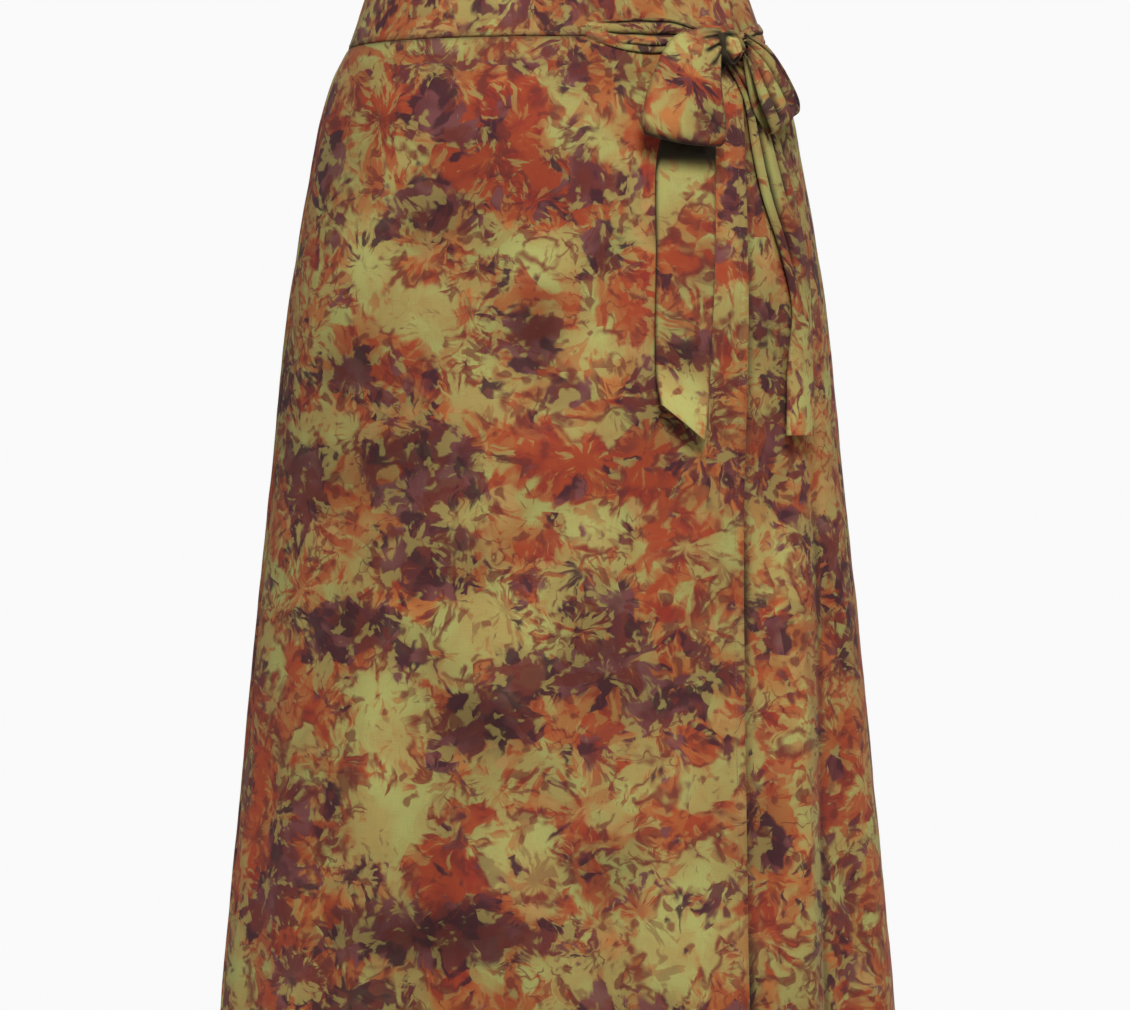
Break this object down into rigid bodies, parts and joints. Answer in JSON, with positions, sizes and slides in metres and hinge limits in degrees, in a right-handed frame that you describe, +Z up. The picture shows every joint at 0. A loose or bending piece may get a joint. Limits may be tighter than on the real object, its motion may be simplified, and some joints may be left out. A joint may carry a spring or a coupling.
{
  "type": "long wrap skirt",
  "caption": "Long A-line wrap skirt as worn: hollow, open at waist and hem, outer front lapped over the under front, tied in a bow at the left hip.",
  "frame": {"origin": "middle of the waist, at half the waistband's height, where the wearer's waist holds the skirt", "axes": "+Z up; -Y the front; +X the wearer's left, the side that the bow is on"},
  "size_m": [0.598, 0.4189, 0.985],
  "materials": {
    "skirt_cloth": "matt soft woven cloth, mottled leaf green, rust and plum",
    "band_cloth": "matt soft woven cloth, doubled and topstitched",
    "tie_cloth": "matt soft woven cloth, gathered into the knot"
  },
  "bodies": {
    "root": {"back_panel": "skirt_cloth", "front_overlap_panel": "skirt_cloth", "front_under_panel": "skirt_cloth", "waistband": "band_cloth", "tie_front": "tie_cloth", "tie_side": "tie_cloth", "knot": "tie_cloth", "loop_left": "tie_cloth", "loop_right": "tie_cloth", "tail_left": "tie_cloth", "tail_right": "tie_cloth"}
  },
  "joints": []
}
